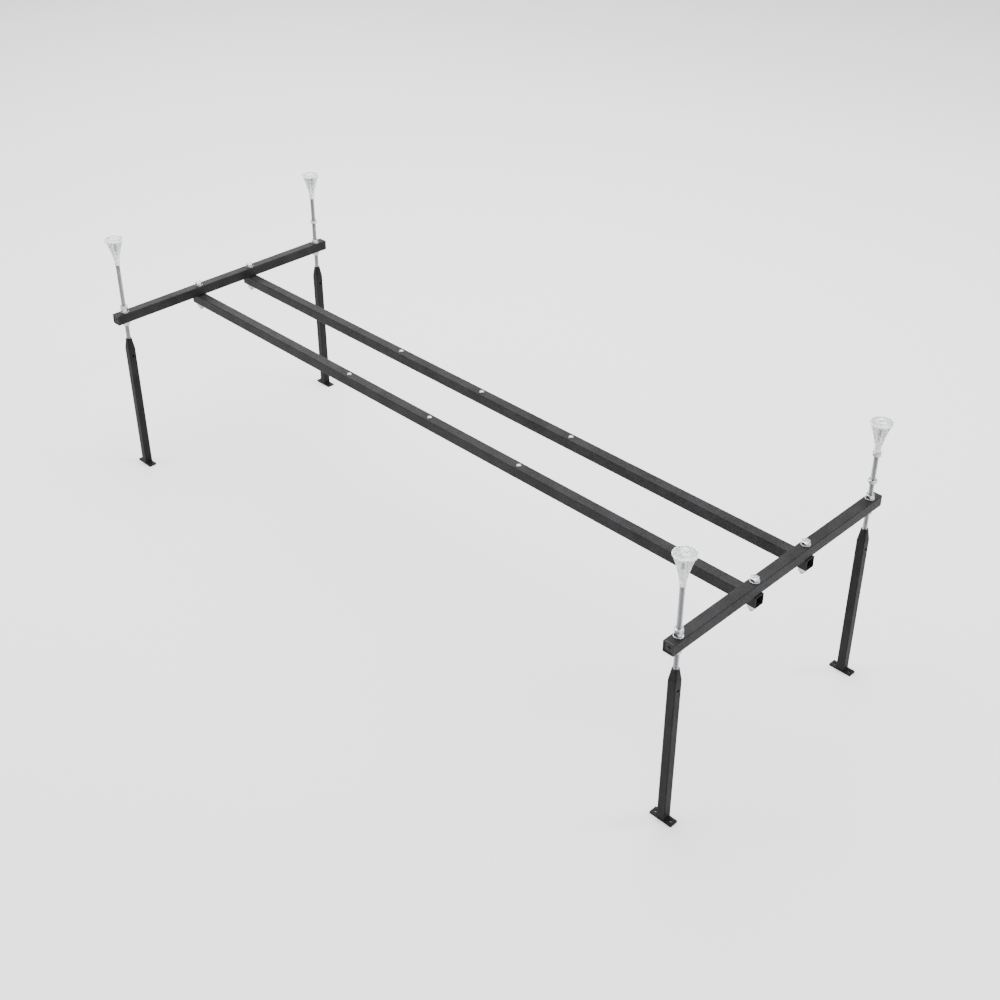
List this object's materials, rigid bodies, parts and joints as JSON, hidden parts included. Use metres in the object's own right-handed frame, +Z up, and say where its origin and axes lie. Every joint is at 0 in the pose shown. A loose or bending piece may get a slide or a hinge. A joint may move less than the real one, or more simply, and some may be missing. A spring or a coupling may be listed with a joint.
{
  "type": "bathtub support frame",
  "caption": "Knock-down steel support frame for a bathtub: two rails bolted under two crossbars, screw-adjusted legs with foot plates, and studs with plastic rest cones.",
  "frame": {"origin": "on the floor, under the middle of the frame", "axes": "+X along the two rails to the right, +Y along the crossbars to the back, +Z up"},
  "size_m": [1.442, 0.522, 0.508],
  "materials": {
    "coated_steel_tube": "satin black powder coat on rolled square tube",
    "coated_steel_leg": "satin black powder coat on square leg tube and cut plate",
    "coated_weld": "satin black powder coat over a weld bead",
    "zinc_stud": "bright zinc plated rolled thread",
    "zinc_fasteners": "bright zinc plated steel",
    "black_plastic": "moulded black polyethylene",
    "clear_plastic": "moulded milky translucent polyethylene"
  },
  "bodies": {
    "frame": {"front_rail": "coated_steel_tube", "back_rail": "coated_steel_tube", "left_crossbar": "coated_steel_tube", "right_crossbar": "coated_steel_tube", "front_left_end_plug": "black_plastic", "front_right_end_plug": "black_plastic", "back_left_end_plug": "black_plastic", "back_right_end_plug": "black_plastic", "joint_bolts": "zinc_fasteners", "joint_nuts": "zinc_fasteners", "joint_washers": "zinc_fasteners", "tub_screws": "zinc_fasteners", "clamp_washers": "zinc_fasteners"},
    "front_left_post": {"front_left_stud": "zinc_stud"},
    "front_left_upper_nuts": {"front_left_top_nut": "zinc_fasteners", "front_left_lock_nut": "zinc_fasteners"},
    "front_left_under_nut": {"front_left_bottom_nut": "zinc_fasteners"},
    "front_left_cone": {"front_left_rest_cone": "clear_plastic"},
    "front_left_leg": {"front_left_leg_tube": "coated_steel_leg", "front_left_leg_insert": "zinc_fasteners", "front_left_foot_plate": "coated_steel_leg", "front_left_foot_welds": "coated_weld"},
    "front_right_post": {"front_right_stud": "zinc_stud"},
    "front_right_upper_nuts": {"front_right_top_nut": "zinc_fasteners", "front_right_lock_nut": "zinc_fasteners"},
    "front_right_under_nut": {"front_right_bottom_nut": "zinc_fasteners"},
    "front_right_cone": {"front_right_rest_cone": "clear_plastic"},
    "front_right_leg": {"front_right_leg_tube": "coated_steel_leg", "front_right_leg_insert": "zinc_fasteners", "front_right_foot_plate": "coated_steel_leg", "front_right_foot_welds": "coated_weld"},
    "back_left_post": {"back_left_stud": "zinc_stud", "back_left_lock_nut": "zinc_fasteners"},
    "back_left_upper_nuts": {"back_left_top_nut": "zinc_fasteners"},
    "back_left_under_nut": {"back_left_bottom_nut": "zinc_fasteners"},
    "back_left_cone": {"back_left_rest_cone": "clear_plastic"},
    "back_left_leg": {"back_left_leg_tube": "coated_steel_leg", "back_left_leg_insert": "zinc_fasteners", "back_left_foot_plate": "coated_steel_leg", "back_left_foot_welds": "coated_weld"},
    "back_right_post": {"back_right_stud": "zinc_stud", "back_right_lock_nut": "zinc_fasteners", "back_right_cone_nut": "zinc_fasteners"},
    "back_right_upper_nuts": {"back_right_top_nut": "zinc_fasteners"},
    "back_right_under_nut": {"back_right_bottom_nut": "zinc_fasteners"},
    "back_right_cone": {"back_right_rest_cone": "clear_plastic"},
    "back_right_leg": {"back_right_leg_tube": "coated_steel_leg", "back_right_leg_insert": "zinc_fasteners", "back_right_foot_plate": "coated_steel_leg", "back_right_foot_welds": "coated_weld"}
  },
  "joints": [
    {"name": "front_left_post_lift", "type": "slide", "parent": "frame", "child": "front_left_post", "axis": [0, 0, 1], "range_m": [-0.02, 0.012]},
    {"name": "front_left_upper_nut_turn", "type": "hinge", "parent": "frame", "child": "front_left_upper_nuts", "pos_m": [-0.7, -0.239, 0.357], "axis": [0, 0, 1], "range_deg": [-3461, 5765]},
    {"name": "front_left_under_nut_turn", "type": "hinge", "parent": "frame", "child": "front_left_under_nut", "pos_m": [-0.7, -0.239, 0.327], "axis": [0, 0, 1], "range_deg": [-3461, 5765]},
    {"name": "front_left_leg_screw", "type": "slide", "parent": "front_left_post", "child": "front_left_leg", "axis": [0, 0, 1], "range_m": [-0.05, 0.015]},
    {"name": "front_left_cone_turn", "type": "hinge", "parent": "front_left_post", "child": "front_left_cone", "pos_m": [-0.7, -0.239, 0.454], "axis": [0, 0, 1], "continuous": true},
    {"name": "front_right_post_lift", "type": "slide", "parent": "frame", "child": "front_right_post", "axis": [0, 0, 1], "range_m": [-0.02, 0.012]},
    {"name": "front_right_upper_nut_turn", "type": "hinge", "parent": "frame", "child": "front_right_upper_nuts", "pos_m": [0.7, -0.239, 0.357], "axis": [0, 0, 1], "range_deg": [-3461, 5765]},
    {"name": "front_right_under_nut_turn", "type": "hinge", "parent": "frame", "child": "front_right_under_nut", "pos_m": [0.7, -0.239, 0.327], "axis": [0, 0, 1], "range_deg": [-3461, 5765]},
    {"name": "front_right_leg_screw", "type": "slide", "parent": "front_right_post", "child": "front_right_leg", "axis": [0, 0, 1], "range_m": [-0.05, 0.015]},
    {"name": "front_right_cone_turn", "type": "hinge", "parent": "front_right_post", "child": "front_right_cone", "pos_m": [0.7, -0.239, 0.439], "axis": [0, 0, 1], "continuous": true},
    {"name": "back_left_post_lift", "type": "slide", "parent": "frame", "child": "back_left_post", "axis": [0, 0, 1], "range_m": [-0.02, 0.012]},
    {"name": "back_left_upper_nut_turn", "type": "hinge", "parent": "frame", "child": "back_left_upper_nuts", "pos_m": [-0.7, 0.239, 0.357], "axis": [0, 0, 1], "range_deg": [-3461, 5765]},
    {"name": "back_left_under_nut_turn", "type": "hinge", "parent": "frame", "child": "back_left_under_nut", "pos_m": [-0.7, 0.239, 0.327], "axis": [0, 0, 1], "range_deg": [-3461, 5765]},
    {"name": "back_left_leg_screw", "type": "slide", "parent": "back_left_post", "child": "back_left_leg", "axis": [0, 0, 1], "range_m": [-0.05, 0.015]},
    {"name": "back_left_cone_turn", "type": "hinge", "parent": "back_left_post", "child": "back_left_cone", "pos_m": [-0.7, 0.239, 0.454], "axis": [0, 0, 1], "continuous": true},
    {"name": "back_right_post_lift", "type": "slide", "parent": "frame", "child": "back_right_post", "axis": [0, 0, 1], "range_m": [-0.02, 0.012]},
    {"name": "back_right_upper_nut_turn", "type": "hinge", "parent": "frame", "child": "back_right_upper_nuts", "pos_m": [0.7, 0.239, 0.357], "axis": [0, 0, 1], "range_deg": [-3461, 5765]},
    {"name": "back_right_under_nut_turn", "type": "hinge", "parent": "frame", "child": "back_right_under_nut", "pos_m": [0.7, 0.239, 0.327], "axis": [0, 0, 1], "range_deg": [-3461, 5765]},
    {"name": "back_right_leg_screw", "type": "slide", "parent": "back_right_post", "child": "back_right_leg", "axis": [0, 0, 1], "range_m": [-0.05, 0.015]},
    {"name": "back_right_cone_turn", "type": "hinge", "parent": "back_right_post", "child": "back_right_cone", "pos_m": [0.7, 0.239, 0.439], "axis": [0, 0, 1], "continuous": true}
  ],
  "couplings": [
    {"joint": "front_left_upper_nut_turn", "follows": "front_left_post_lift", "rad_per_m": -5026.5},
    {"joint": "front_left_under_nut_turn", "follows": "front_left_post_lift", "rad_per_m": -5026.5},
    {"joint": "front_right_upper_nut_turn", "follows": "front_right_post_lift", "rad_per_m": -5026.5},
    {"joint": "front_right_under_nut_turn", "follows": "front_right_post_lift", "rad_per_m": -5026.5},
    {"joint": "back_left_upper_nut_turn", "follows": "back_left_post_lift", "rad_per_m": -5026.5},
    {"joint": "back_left_under_nut_turn", "follows": "back_left_post_lift", "rad_per_m": -5026.5},
    {"joint": "back_right_upper_nut_turn", "follows": "back_right_post_lift", "rad_per_m": -5026.5},
    {"joint": "back_right_under_nut_turn", "follows": "back_right_post_lift", "rad_per_m": -5026.5}
  ]
}
